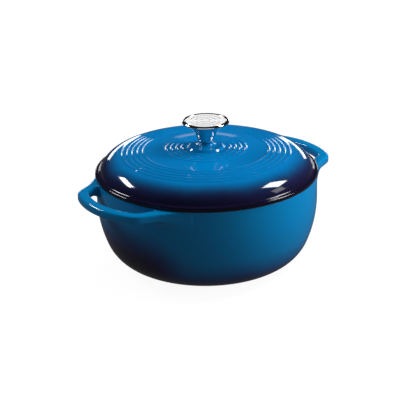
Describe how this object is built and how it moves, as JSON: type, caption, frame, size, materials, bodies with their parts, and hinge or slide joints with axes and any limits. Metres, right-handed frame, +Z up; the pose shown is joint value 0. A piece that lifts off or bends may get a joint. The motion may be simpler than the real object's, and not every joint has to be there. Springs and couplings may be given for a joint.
{
  "type": "covered casserole dish",
  "caption": "Round enamelled cast-iron casserole with loop handles and a domed, ringed lid that lifts off by a steel knob.",
  "frame": {"origin": "centre of the foot ring, on the surface that the pot stands on", "axes": "+X along the two handles, +Z up through the knob"},
  "size_m": [0.3622, 0.289, 0.1902],
  "materials": {
    "pot_enamel": "glossy vitreous enamel, blue shading to navy at the base, cream inside",
    "lid_enamel": "glossy vitreous enamel, bright blue shading to navy at the shoulder, cream below",
    "polished_steel": "mirror-polished stainless steel",
    "face_plate": "polished steel with fine turned rings",
    "bush_brass": "plain turned brass",
    "fastener_steel": "plain stainless steel"
  },
  "bodies": {
    "pot": {"pot": "pot_enamel"},
    "lid": {"lid": "lid_enamel", "knob_stem": "polished_steel", "knob_cap": "polished_steel", "knob_face": "face_plate", "knob_insert": "bush_brass", "knob_screw": "fastener_steel", "spring_washer": "fastener_steel", "flat_washer": "fastener_steel"}
  },
  "joints": [
    {"name": "lid_lift", "type": "slide", "parent": "pot", "child": "lid", "axis": [0, 0, 1], "range_m": [0, 0.15]}
  ]
}
